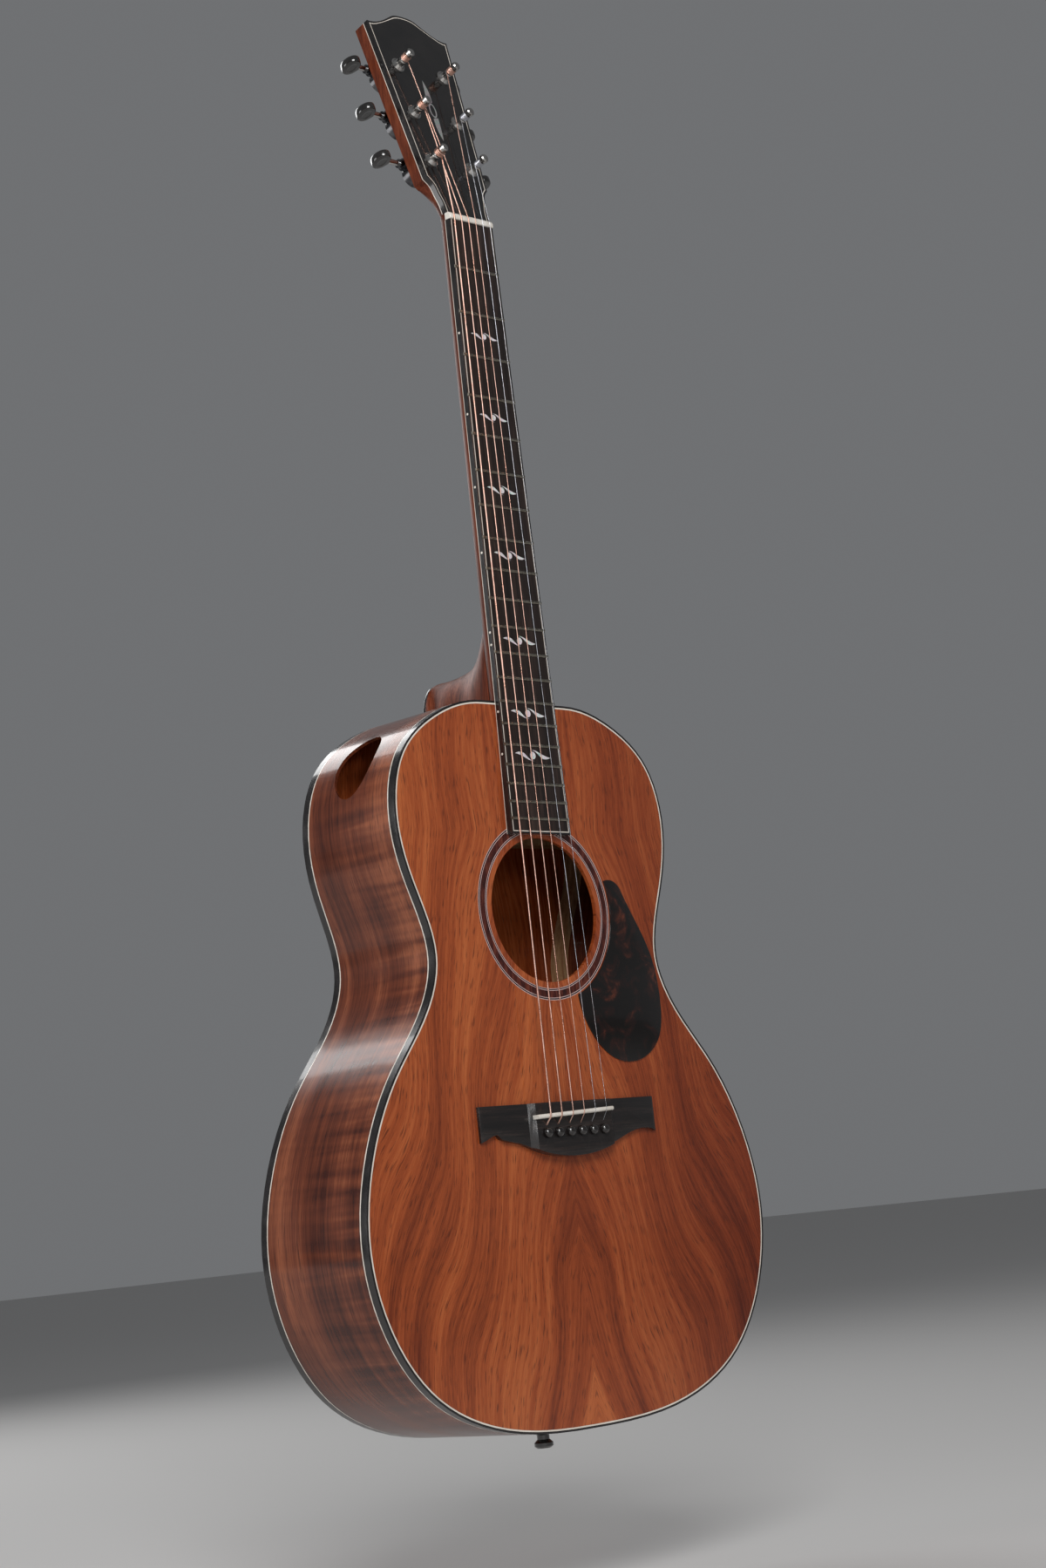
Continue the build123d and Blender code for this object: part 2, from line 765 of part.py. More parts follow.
# ---- bridge pins and end pin --------------------------------------------------------------
for number, (x, z) in enumerate(pin_places, 1):
    with BuildPart() as bridge_pin:
        with BuildSketch(Plane(origin=(x, -bridge_height, z), x_dir=(1, 0, 0), z_dir=(0, 0, 1))):
            with BuildLine():
                head = Spline((0, -3.8), (2.4, -3.1), (3.45, -1.5), (3.0, -running_gap),
                              tangents=((1, 0), (-1, 0.6)))
                Polyline(head @ 1, (pin_shank, -running_gap), (2.3, 20), (1.5, 23), (0, 23.5), head @ 0)
            make_face()
        revolve(axis=Axis((x, 0, z), (0, 1, 0)))
    save(bridge_pin.part, f"bridge_pin_{number}")

tail_z = -865.0
with BuildPart() as end_pin:
    with BuildSketch(Plane(origin=(0, end_pin_y, tail_z), x_dir=(1, 0, 0), z_dir=(0, -1, 0))):
        with BuildLine():
            Polyline((0, 20), (3.6, 20), (end_pin_radius, 0), (7.0, -0.4), (7.2, -2.0), (4.4, -4.0), (4.4, -7.0),
                     (6.8, -9.4), (6.8, -11.6), (5.0, -13.0), (0, -13.2), close=True)
        make_face()
    revolve(axis=Axis((0, end_pin_y, 0), (0, 0, 1)))
save(end_pin.part, "end_pin")

# ---- tuners -------------------------------------------------------------------------------
post_top = 17.2
post_radius = 3.0
gear_half = 1.0
gear_tip = 6.0
gear_root = 4.3
tooth_base = 1.08
tooth_tall = gear_tip - gear_root + 0.4
worm_long = 5 * worm_lead
worm_core = 1.6
worm_tip = 3.2
shaft_radius = 2.0
button_inner = 43.5
button_long = 13.0
button_wide = 17.5
button_thick = 6.8
cup_radius = 8.2
sleeve_end = 13.0


def worm_plane(x, up, side, along):
    """Square to the worm's shaft: local X points at the post and local Z out to the button."""
    middle = head_point(x + side * along, up + worm_offset, -worm_depth)
    return Plane(origin=middle, x_dir=-head_up, z_dir=(side, 0, 0))


def tuner_post(x, up):
    with BuildPart() as post:
        with BuildSketch(Plane(origin=head_point(x, up, 0), x_dir=(1, 0, 0), z_dir=-head_up)):
            with BuildLine():
                Polyline((0, -21.4), (2.48, -21.4), (2.48, -18.5), (post_radius, -18.5), (post_radius, 6.5),
                         (2.6, 7.2), (2.6, 12.5), (3.3, 14.2), (3.3, 16.4), (2.5, post_top), (0, post_top),
                         close=True)
            make_face()
        revolve(axis=Axis(head_point(x, up, 0), head_normal))
        with BuildSketch(Plane(origin=head_point(x, up, 10), x_dir=(1, 0, 0), z_dir=head_up)):
            Circle(0.9)
        extrude(amount=6, both=True, mode=Mode.SUBTRACT)
    return post.part


def tuner_gear(x, up):
    """A worm wheel with one tooth square to the worm."""
    with BuildPart() as gear:
        with BuildSketch(head_plane(worm_depth + gear_half, x, up)):
            Circle(gear_root)
            with PolarLocations(gear_tip - tooth_tall / 2, gear_teeth, start_angle=90):
                Trapezoid(tooth_base, tooth_tall, 83, rotation=-90)
            Circle(2.5, mode=Mode.SUBTRACT)
        extrude(amount=2 * gear_half)
    return gear.part


def worm_thread():
    """One start of the worm's thread, about the local Z axis."""
    with BuildPart() as thread:
        with BuildLine():
            Helix(pitch=worm_lead, height=worm_long, radius=worm_pitch_radius)
        with BuildSketch(Plane(origin=(worm_pitch_radius, 0, 0), x_dir=(1, 0, 0), z_dir=(0, 1, 0))):
            with BuildLine():
                Polyline((-1.0, -0.48), (worm_tip - worm_pitch_radius, -0.16),
                         (worm_tip - worm_pitch_radius, 0.16), (-1.0, 0.48), close=True)
            make_face()
        sweep(is_frenet=True)
    return thread.part


thread = worm_thread()


def tuner_worm(x, up, side):
    """The worm, its shaft and the square end inside the button."""
    start = -worm_long / 2
    with BuildPart() as worm:
        add(worm_plane(x, up, side, start).location * thread)
        with BuildSketch(worm_plane(x, up, side, start - 2)):
            Circle(worm_core)
        extrude(amount=worm_long + 3)
        with BuildSketch(worm_plane(x, up, side, start + worm_long + 0.8)):
            Circle(shaft_radius)
        extrude(amount=button_inner - abs(x) + 9 + start)
    return worm.part


def tuner_button(x, up, side):
    """An oval button, its flat sides facing up and down the headstock."""
    middle = head_point(side * (button_inner + button_long / 2), up + worm_offset, -worm_depth)
    with BuildPart() as button:
        with BuildSketch(Plane(origin=middle, x_dir=(1, 0, 0), z_dir=head_up)):
            Ellipse(button_long / 2, button_wide / 2)
        extrude(amount=button_thick / 2, both=True)
        fillet(button.edges(), 2.2)
        with BuildSketch(worm_plane(0, up, side, button_inner - 1)):
            Circle(shaft_radius + 0.02)
        extrude(amount=11, mode=Mode.SUBTRACT)
    return button.part


def tuner_housing(x, up, side):
    """The cast case on the back of the headstock, hollow round the gear and the worm."""
    with BuildPart() as case:
        with BuildSketch(head_plane(head_thick, x, up)):
            Circle(cup_radius)
            with Locations((0, -screw_place / 2 - 1.5)):
                Rectangle(7, screw_place)
            with Locations((0, worm_offset / 2)):
                Rectangle(2 * cup_radius, worm_offset)
        extrude(amount=-1.4)
        with BuildSketch(head_plane(head_thick, x, up)):
            Circle(cup_radius)
        extrude(amount=-9.6)
        with BuildSketch(worm_plane(x, up, side, -9)):
            Circle(4.7)
        extrude(amount=sleeve_end + 5)
        with BuildSketch(worm_plane(x, up, side, sleeve_end - 5)):
            Circle(3.4)
        extrude(amount=5)
        with BuildSketch(head_plane(head_thick + 1.3, x, up)):
            Circle(6.7)
        extrude(amount=-6.9, mode=Mode.SUBTRACT)
        with BuildSketch(head_plane(head_thick - 1, x, up)):
            Circle(post_radius + running_gap)
        extrude(amount=-5, mode=Mode.SUBTRACT)
        with BuildSketch(worm_plane(x, up, side, -6.2)):
            Circle(3.6)
        extrude(amount=12.4, mode=Mode.SUBTRACT)
        with BuildSketch(worm_plane(x, up, side, -8)):
            Circle(worm_core + running_gap)
        extrude(amount=3, mode=Mode.SUBTRACT)
        with BuildSketch(worm_plane(x, up, side, 5)):
            Circle(shaft_radius + running_gap)
        extrude(amount=sleeve_end, mode=Mode.SUBTRACT)
        with BuildSketch(head_plane(head_thick - 1, x, up - screw_place)):
            Circle(screw_radius + running_gap)
        extrude(amount=-4, mode=Mode.SUBTRACT)
    return case.part


collar_radius = 5.0
collar_height = 2.4


def tuner_bushing(x, up):
    """A washer and a tapered collar on one sleeve, through the headstock from the front."""
    with BuildPart() as bushing:
        with BuildSketch(head_plane(0, x, up)):
            Circle(collar_radius + 0.9)
        extrude(amount=0.8)
        with BuildSketch(head_plane(-0.8, x, up)):
            Circle(collar_radius)
        extrude(amount=collar_height, taper=28)
        with BuildSketch(head_plane(head_thick - 0.1, x, up)):
            Circle(post_hole - 0.1)
        extrude(amount=head_thick - 0.1)
        with BuildSketch(head_plane(head_thick + 1, x, up)):
            Circle(post_radius + running_gap)
        extrude(amount=head_thick + 5, mode=Mode.SUBTRACT)
    return bushing.part


def tuner_screw(x, up):
    with BuildPart() as screw:
        with BuildSketch(head_plane(head_thick + 1.4, x, up - screw_place)):
            Circle(2.3)
        extrude(amount=-1.1)
        with BuildSketch(head_plane(head_thick + 1.4, x, up - screw_place)):
            Circle(screw_radius)
        extrude(amount=8)
    return screw.part


cases = []
bushings = []
screws = []
for number, (x, up) in enumerate(post_places, 1):
    side = -1 if x < 0 else 1
    save(tuner_post(x, up), f"tuner_{number}_post")
    save(tuner_gear(x, up), f"tuner_{number}_gear")
    save(tuner_worm(x, up, side), f"tuner_{number}_worm")
    save(tuner_button(x, up, side), f"tuner_{number}_button")
    cases.append(tuner_housing(x, up, side))
    bushings.append(tuner_bushing(x, up))
    screws.append(tuner_screw(x, up))

save(Compound(children=cases), "tuner_housings")
save(Compound(children=bushings), "tuner_bushings")
save(Compound(children=screws), "tuner_screws")

# ---- strings ------------------------------------------------------------------------------
winding_radius = 4.0
winding_height = 8.5
nut_rest_z = 2.6
nut_bend = 8.0
saddle_bend = 1.6

with BuildPart() as strings:
    for i, gauge in enumerate(string_gauges):
        radius = gauge / 2
        post_x, post_up = post_places[i]
        side = -1 if post_x < 0 else 1
        at_post = head_point(post_x - side * winding_radius, post_up, winding_height)
        at_nut = Vector(strings_at_nut[i], -nut_height - radius - 0.06, nut_rest_z)
        at_saddle = Vector(strings_at_saddle[i], -saddle_height - radius - 0.55, saddle_z(strings_at_saddle[i]))
        at_pin = Vector(pin_places[i][0], -bridge_height - radius - 0.3, pin_z + 5.6)
        with BuildLine() as route:
            FilletPolyline(at_post, at_nut, at_saddle, at_pin, radius=[nut_bend, saddle_bend])
        with BuildSketch(Plane(origin=at_post, z_dir=at_nut - at_post)):
            Circle(radius)
        sweep(path=route.wires()[0])
save(strings.part, "strings")
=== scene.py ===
# %% [markdown]
# # An acoustic guitar, lesson by lesson
# This notebook dresses a steel-string guitar that already exists as a measured model. The model
# comes in as a fixed frame: its nodes are the guitar's real parts, in metres, with the nut at the
# origin, +X to the treble side, +Y into the body and +Z up the neck. Each step below says what a
# piece or a finish is on the real guitar, how it could be made, and why it is made this way.

import math

import bpy
from mathutils import Matrix, Vector


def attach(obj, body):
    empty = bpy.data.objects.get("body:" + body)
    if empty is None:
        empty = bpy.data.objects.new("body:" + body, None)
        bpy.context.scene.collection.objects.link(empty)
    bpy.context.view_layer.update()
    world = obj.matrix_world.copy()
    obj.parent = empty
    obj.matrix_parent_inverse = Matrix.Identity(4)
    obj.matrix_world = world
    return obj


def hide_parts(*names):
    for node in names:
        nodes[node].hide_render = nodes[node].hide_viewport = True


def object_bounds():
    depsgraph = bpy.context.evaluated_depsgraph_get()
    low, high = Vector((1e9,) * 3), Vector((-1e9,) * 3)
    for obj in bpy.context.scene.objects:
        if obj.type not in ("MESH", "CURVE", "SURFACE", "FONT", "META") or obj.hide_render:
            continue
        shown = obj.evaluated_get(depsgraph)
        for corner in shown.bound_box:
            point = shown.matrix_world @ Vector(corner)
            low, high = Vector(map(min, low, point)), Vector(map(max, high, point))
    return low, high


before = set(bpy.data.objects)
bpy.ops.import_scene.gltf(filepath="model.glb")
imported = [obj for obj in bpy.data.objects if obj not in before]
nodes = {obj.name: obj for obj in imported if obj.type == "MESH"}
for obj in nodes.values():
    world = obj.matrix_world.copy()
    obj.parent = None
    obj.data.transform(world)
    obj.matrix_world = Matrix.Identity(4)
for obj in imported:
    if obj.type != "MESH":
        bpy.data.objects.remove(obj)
cad_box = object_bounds()
bpy.ops.object.select_all(action="DESELECT")
print("guitar's box, metres:", [[round(v, 3) for v in corner] for corner in cad_box])

# %% [markdown]
# ## The camera
# A long lens from below and from the bass side makes the body loom and the headstock shrink. The
# camera's direction is set from three axes: right, up, and back, which is away from the view.
# The frame's middle is a little off the lens's axis, so the lens is shifted, not turned.

# %% Place the camera
MM = 0.001
camera_place = (-1.3848, -1.3753, -0.7231)
camera_right = Vector((0.7115, -0.6947, -0.1056))
camera_up = Vector((-0.0226, -0.1728, 0.9847))
camera_back = camera_right.cross(camera_up)
camera_data = bpy.data.cameras.new("camera")
camera_data.sensor_width = 36.0
camera_data.lens = 64.04
camera_data.shift_x = -0.0076
camera_data.shift_y = 0.0301
camera_data.clip_end = 50.0
camera = bpy.data.objects.new("camera", camera_data)
turn = Matrix((camera_right, camera_up, camera_back)).transposed().to_4x4()
camera.matrix_world = Matrix.Translation(camera_place) @ turn
bpy.context.collection.objects.link(camera)
bpy.context.scene.camera = camera
print("camera at", [round(v, 3) for v in camera.location])

# %% [markdown]
# ## The studio
# Gloss lacquer shows what it reflects more than what lights it. A plain pale floor and large soft
# area lights give long, even reflections: one beside the bass ribs, one in front of the top, and
# one behind for the back. A smaller one lies where the ramp of the bridge and the pins mirror it.
# A point lamp would only make hot spots.

# %% Build the floor and the lights
floor_drop, floor_size = 0.10, 60.0
floor_z = cad_box[0][2] - floor_drop
bpy.ops.mesh.primitive_plane_add(size=floor_size, location=(0, 0, floor_z))
floor = bpy.context.object
floor.name = "floor"


def pale_paint(name, tone):
    """A matte paint for the floor, with a faint cloudiness in its tone."""
    paint = bpy.data.materials.new(name)
    paint.use_nodes = True
    tree = paint.node_tree
    shader = tree.nodes["Principled BSDF"]
    shader.inputs["Roughness"].default_value = 0.9
    clouds = tree.nodes.new("ShaderNodeTexNoise")
    clouds.inputs["Scale"].default_value = 0.8
    tones = tree.nodes.new("ShaderNodeValToRGB")
    tones.color_ramp.elements[0].color = (*[t * 0.97 for t in tone], 1)
    tones.color_ramp.elements[1].color = (*tone, 1)
    tree.links.new(clouds.outputs["Fac"], tones.inputs["Fac"])
    tree.links.new(tones.outputs["Color"], shader.inputs["Base Color"])
    return paint


floor.data.materials.append(pale_paint("floor_paint", (0.62, 0.61, 0.60)))

world = bpy.data.worlds.new("studio")
world.use_nodes = True
world.node_tree.nodes["Background"].inputs["Color"].default_value = (0.80, 0.82, 0.85, 1)
world.node_tree.nodes["Background"].inputs["Strength"].default_value = 0.20
bpy.context.scene.view_settings.view_transform = "Standard"
bpy.context.scene.world = world


def soft_light(name, place, aim, size, power):
    """A rectangular area light at a place, turned to face the aim."""
    data = bpy.data.lights.new(name, "AREA")
    data.shape = "RECTANGLE"
    data.size, data.size_y = size
    data.energy = power
    light = bpy.data.objects.new(name, data)
    light.location = place
    light.rotation_euler = (Vector(aim) - Vector(place)).to_track_quat("-Z", "Y").to_euler()
    bpy.context.collection.objects.link(light)


body_middle = Vector((0, 0.05, -0.6))
soft_light("side_light", (-2.3, 1.5, -0.1), body_middle, (0.9, 1.5), 12)
soft_light("front_light", (-1.9, -2.2, 1.3), body_middle, (1.4, 1.4), 78)
soft_light("back_light", (0.4, 3.0, 1.2), body_middle, (1.6, 2.0), 40)
soft_light("bridge_light", (-1.6, -2.4, -0.2), Vector((0, 0, -0.66)), (0.45, 0.45), 9)
print("floor at", round(floor_z, 3), "lights:", len(bpy.data.lights))

# %% [markdown]
# ## A kit for wood
# Wood is drawn in layers: broad bands of colour that run with the grain, fine fibres, and short
# dark pores. All three are noise, stretched long along the grain. The pattern reads Object
# coordinates, so it is fixed in the wood and needs no unwrapping. A small helper adds a node and
# fills its sockets, so that each finish below stays short.

# %% Make the node helpers
def new_finish(name, rough, coat=0.0, spec=0.5):
    """A material with its tree and shader; constants go on the shader's own sockets."""
    finish = bpy.data.materials.new(name)
    finish.use_nodes = True
    shader = finish.node_tree.nodes["Principled BSDF"]
    shader.inputs["Roughness"].default_value = rough
    shader.inputs["Specular IOR Level"].default_value = spec
    shader.inputs["Coat Weight"].default_value = coat
    shader.inputs["Coat Roughness"].default_value = 0.04
    return finish, finish.node_tree, shader


def add(tree, kind, settings=None, **sockets):
    """A node with properties from settings; a socket takes a value or another node's output."""
    node = tree.nodes.new(kind)
    for key, value in (settings or {}).items():
        setattr(node, key, value)
    for key, value in sockets.items():
        socket = node.inputs[int(key[1:])] if key[0] == "i" and key[1:].isdigit() else node.inputs[key]
        if isinstance(value, bpy.types.NodeSocket):
            tree.links.new(value, socket)
        else:
            socket.default_value = value
    return node


def maths(tree, operation, first, second=0.0):
    return add(tree, "ShaderNodeMath", {"operation": operation}, i0=first, i1=second).outputs[0]


def ramp(tree, value, stops):
    """A colour ramp from (position, colour) stops."""
    node = add(tree, "ShaderNodeValToRGB", Fac=value)
    elements = node.color_ramp.elements
    while len(elements) < len(stops):
        elements.new(0.5)
    for element, (position, colour) in zip(elements, stops):
        element.position = position
        element.color = (*colour, 1)
    return node.outputs["Color"]


def blend_colours(tree, share, first, second, mode="MIX"):
    node = add(tree, "ShaderNodeMix", {"data_type": "RGBA", "blend_type": mode})
    for socket, value in ((node.inputs[0], share), (node.inputs[6], first), (node.inputs[7], second)):
        if isinstance(value, bpy.types.NodeSocket):
            tree.links.new(value, socket)
        elif isinstance(value, float):
            socket.default_value = value
        else:
            socket.default_value = (*value, 1)
    return node.outputs[2]


def axes_of(tree):
    """The object's own coordinates, split."""
    coords = add(tree, "ShaderNodeTexCoord").outputs["Object"]
    split = add(tree, "ShaderNodeSeparateXYZ", i0=coords)
    return split.outputs[0], split.outputs[1], split.outputs[2]


def noise_at(tree, x, y, z, scale=1.0, detail=4.0, rough=0.55, warp=0.0):
    """Noise at a point whose coordinates may be sockets or numbers."""
    point = add(tree, "ShaderNodeCombineXYZ", i0=x, i1=y, i2=z).outputs[0]
    return add(tree, "ShaderNodeTexNoise", Vector=point, Scale=scale, Detail=detail, Roughness=rough,
               Distortion=warp).outputs["Fac"]


def bump(tree, shader, height, strength, distance=0.0004):
    node = add(tree, "ShaderNodeBump", Height=height, Strength=strength, Distance=distance)
    tree.links.new(node.outputs["Normal"], shader.inputs["Normal"])
    tree.links.new(node.outputs["Normal"], shader.inputs["Coat Normal"])


print("node helpers ready")

# %% [markdown]
# ## Koa for the top and back
# The plates are book-matched: one board is sawn into two thin sheets and opened like a book, so
# the right half mirrors the left. The pattern therefore reads the distance from the centre seam.
# Below the sound hole the grain leans outwards. Across the width the colour is multiplied by a
# painted shade that darkens the plate from the bass edge to the treble edge, as if lit from the bass
# side.

# %% Make the koa of the plates
KOA_DARK, KOA_MID, KOA_LIGHT = (0.125, 0.020, 0.006), (0.34, 0.070, 0.018), (0.52, 0.140, 0.040)


def scaled(tree, value, size):
    return maths(tree, "MULTIPLY", value, size)


def share(tree, value, low, high, first=0.0, last=1.0):
    """A value between first and last as the input goes from low to high."""
    return add(tree, "ShaderNodeMapRange", Value=value, i1=low, i2=high, i3=first, i4=last).outputs[0]


def plate_koa(name, lean):
    """Lacquered koa for a flat plate whose grain runs along z; lean turns it outwards low down."""
    finish, tree, shader = new_finish(name, 0.26, coat=0.5, spec=0.3)
    x, y, z = axes_of(tree)
    from_seam = maths(tree, "ABSOLUTE", x)
    swirl = noise_at(tree, scaled(tree, from_seam, 7.0), 0.0, scaled(tree, z, 4.2), detail=1.0)
    drift = scaled(tree, maths(tree, "SUBTRACT", swirl, 0.5), 0.10)
    below = scaled(tree, maths(tree, "MINIMUM", maths(tree, "ADD", z, 0.45), 0.0), lean)
    across = maths(tree, "ADD", maths(tree, "ADD", from_seam, drift), below)
    broad = noise_at(tree, scaled(tree, across, 17.0), 0.0, scaled(tree, z, 1.6), detail=3.0)
    streak = noise_at(tree, scaled(tree, across, 95.0), 0.0, scaled(tree, z, 3.0), detail=3.0)
    fibre = noise_at(tree, scaled(tree, across, 420.0), 0.0, scaled(tree, z, 16.0), detail=4.0, rough=0.7)
    pattern = maths(tree, "ADD", scaled(tree, broad, 0.42), scaled(tree, streak, 0.26))
    pattern = maths(tree, "ADD", pattern, scaled(tree, fibre, 0.32))
    wood = ramp(tree, pattern, ((0.37, KOA_DARK), (0.50, KOA_MID), (0.62, KOA_LIGHT)))
    # Painted shade: the plate darkens and reddens from the bass edge to the treble edge, standing in for
    # light from the bass side.
    tone = ramp(tree, share(tree, x, -0.12, 0.19), ((0.0, (1.0, 1.0, 1.0)), (0.42, (0.94, 0.90, 0.90)),
                                                    (1.0, (0.58, 0.45, 0.44))))
    wood = blend_colours(tree, 1.0, wood, tone, "MULTIPLY")
    pores = noise_at(tree, scaled(tree, across, 950.0), 0.0, scaled(tree, z, 85.0), detail=1.0)
    wood = blend_colours(tree, share(tree, pores, 0.58, 0.68, 0.0, 0.62), wood, (0.055, 0.011, 0.005))
    tree.links.new(wood, shader.inputs["Base Color"])
    tree.links.new(share(tree, fibre, 0.3, 0.7, 0.20, 0.33), shader.inputs["Roughness"])
    bump(tree, shader, pores, 0.05)
    return finish


finishes = {"top_koa": plate_koa("top_koa", 0.27), "back_koa": plate_koa("back_koa", 0.12)}
print("plates:", list(finishes))

# %% [markdown]
# ## Koa for the ribs
# The ribs are thin strips bent over a hot iron. Their grain runs round the body, and the curl of
# the wood crosses it as bright and dark bars. Noise that hardly changes with depth, but fast along
# the outline, draws the bars, and noise that changes only with depth draws the grain.

# %% Make the koa of the ribs
def rib_koa(name):
    finish, tree, shader = new_finish(name, 0.24, coat=0.35, spec=0.25)
    x, y, z = axes_of(tree)
    bars = noise_at(tree, scaled(tree, x, 150.0), scaled(tree, y, 11.0), scaled(tree, z, 150.0),
                    detail=1.0, rough=0.4, warp=0.3)
    bar_share = share(tree, y, 0.075, 0.012, 0.06, 0.42)
    bars = maths(tree, "MULTIPLY", maths(tree, "SUBTRACT", bars, 0.5), bar_share)
    cloud = noise_at(tree, scaled(tree, x, 4.0), scaled(tree, y, 30.0), scaled(tree, z, 4.0), detail=2.0)
    streak = noise_at(tree, scaled(tree, x, 3.0), scaled(tree, y, 150.0), scaled(tree, z, 3.0), detail=3.0)
    fibre = noise_at(tree, scaled(tree, x, 14.0), scaled(tree, y, 520.0), scaled(tree, z, 14.0),
                     detail=3.0, rough=0.7)
    pattern = maths(tree, "ADD", scaled(tree, cloud, 0.45), scaled(tree, streak, 0.27))
    pattern = maths(tree, "ADD", pattern, scaled(tree, fibre, 0.28))
    pattern = maths(tree, "ADD", pattern, bars)
    wood = ramp(tree, pattern, ((0.36, (0.050, 0.010, 0.005)), (0.50, (0.150, 0.036, 0.015)),
                                (0.65, (0.32, 0.095, 0.040))))
    pores = noise_at(tree, scaled(tree, x, 70.0), scaled(tree, y, 1100.0), scaled(tree, z, 70.0), detail=1.0)
    wood = blend_colours(tree, share(tree, pores, 0.58, 0.68, 0.0, 0.5), wood, (0.022, 0.006, 0.004))
    tree.links.new(wood, shader.inputs["Base Color"])
    tree.links.new(share(tree, cloud, 0.3, 0.7, 0.16, 0.28), shader.inputs["Roughness"])
    bump(tree, shader, pores, 0.04)
    return finish


finishes["side_koa"] = rib_koa("side_koa")
print("ribs:", finishes["side_koa"].name)

# %% [markdown]
# ## The straight-grained woods
# The neck is mahogany under a satin lacquer, the fretboard and bridge are ebony that is only
# oiled, and the bracing inside is bare spruce. All are straight-grained, so one recipe makes them:
# three tones, the scale of the figure, and the axis that the grain follows.

# %% Make the straight-grained woods
def straight_wood(name, tones, along="z", figure=120.0, rough=0.4, coat=0.0, spec=0.5, grain_bump=0.1):
    finish, tree, shader = new_finish(name, rough, coat=coat, spec=spec)
    x, y, z = axes_of(tree)

    def stretched(across, length):
        sizes = {"x": across, "y": across, "z": across}
        sizes[along] = length
        return [maths(tree, "MULTIPLY", value, sizes[key]) for key, value in (("x", x), ("y", y), ("z", z))]

    broad = noise_at(tree, *stretched(figure, figure * 0.035), detail=4.0, rough=0.6)
    fine = noise_at(tree, *stretched(figure * 7, figure * 0.18), detail=4.0, rough=0.65)
    pattern = maths(tree, "ADD", maths(tree, "MULTIPLY", broad, 0.6), maths(tree, "MULTIPLY", fine, 0.4))
    wood = ramp(tree, pattern, list(zip((0.38, 0.51, 0.64), tones)))
    pores = noise_at(tree, *stretched(figure * 13, figure * 0.5), detail=1.0)
    pore_share = add(tree, "ShaderNodeMapRange", Value=pores, i1=0.60, i2=0.72, i3=0.0, i4=0.7).outputs[0]
    wood = blend_colours(tree, pore_share, wood, tones[0])
    tree.links.new(wood, shader.inputs["Base Color"])
    dull = add(tree, "ShaderNodeMapRange", Value=pattern, i1=0.3, i2=0.7, i3=rough + 0.07, i4=rough - 0.07)
    tree.links.new(dull.outputs[0], shader.inputs["Roughness"])
    bump(tree, shader, fine, grain_bump, 0.0002)
    return finish


finishes["neck_mahogany"] = straight_wood(
    "neck_mahogany", ((0.046, 0.009, 0.004), (0.125, 0.026, 0.010), (0.22, 0.055, 0.022)), rough=0.50,
    spec=0.15)
finishes["board_wood"] = straight_wood(
    "board_wood", ((0.009, 0.0065, 0.006), (0.020, 0.013, 0.011), (0.056, 0.034, 0.027)), figure=210.0,
    rough=0.45, spec=0.35, grain_bump=0.25)
finishes["bridge_wood"] = straight_wood(
    "bridge_wood", ((0.0060, 0.0050, 0.0050), (0.013, 0.010, 0.0095), (0.032, 0.021, 0.018)), along="x",
    figure=210.0, rough=0.30, coat=0.25, grain_bump=0.15)
finishes["inner_wood"] = straight_wood(
    "inner_wood", ((0.26, 0.12, 0.05), (0.43, 0.25, 0.12), (0.58, 0.38, 0.21)), rough=0.7, figure=260.0)
print("woods:", [name for name in finishes if "wood" in name or "mahogany" in name])

# %% [markdown]
# ## The binding, the lines and the rosette
# The edges are bound in black plastic with thin ivory lines beside it. The rosette is a set of
# rings let into the top: white and black lines either side of a band of darker koa. The white
# lines are painted pink, a painted reflection of warm light. It is one solid here, so its colours
# come from the distance to the sound hole's centre, in steps.

# %% Make the plastics and the rosette
def plastic(name, tone, other, rough=0.2, coat=0.5, scale=60.0, grain_bump=0.03):
    """A polished plastic with a slightly uneven tone and gloss."""
    finish, tree, shader = new_finish(name, rough, coat=coat)
    x, y, z = axes_of(tree)
    cloud = noise_at(tree, x, y, z, scale=scale, detail=4.0)
    tree.links.new(ramp(tree, cloud, ((0.35, tone), (0.68, other))), shader.inputs["Base Color"])
    dull = add(tree, "ShaderNodeMapRange", Value=cloud, i1=0.3, i2=0.7, i3=rough * 0.75, i4=rough * 1.3)
    tree.links.new(dull.outputs[0], shader.inputs["Roughness"])
    bump(tree, shader, noise_at(tree, x, y, z, scale=900.0, detail=2.0), grain_bump, 0.0001)
    return finish


finishes["black_binding"] = plastic("black_binding", (0.006, 0.005, 0.005), (0.015, 0.012, 0.012))
finishes["white_line"] = plastic("white_line", (0.72, 0.64, 0.55), (0.86, 0.80, 0.72), rough=0.3)

# The rosette's white rings are painted pink: a painted reflection of warm light on white lines.
WHITE_IN_WARM_LIGHT, BLACK = (0.62, 0.44, 0.42), (0.010, 0.007, 0.007)
hole_centre_z = -506.1
# Each edge is a radius in millimetres and the tone outside it; None is the band of koa.
ring_edges = ((55.8, WHITE_IN_WARM_LIGHT), (56.25, BLACK), (57.0, WHITE_IN_WARM_LIGHT), (57.45, None),
              (62.3, WHITE_IN_WARM_LIGHT), (62.75, BLACK), (63.65, WHITE_IN_WARM_LIGHT))
rosette, tree, shader = new_finish("rosette", 0.26, coat=0.5, spec=0.3)
x, y, z = axes_of(tree)
figure = noise_at(tree, scaled(tree, x, 240.0), 0.0, scaled(tree, z, 60.0), detail=4.0)
koa_band = ramp(tree, figure, ((0.36, (0.022, 0.004, 0.003)), (0.52, (0.070, 0.012, 0.007)),
                               (0.68, (0.16, 0.035, 0.016))))
tree.links.new(share(tree, figure, 0.3, 0.7, 0.20, 0.33), shader.inputs["Roughness"])
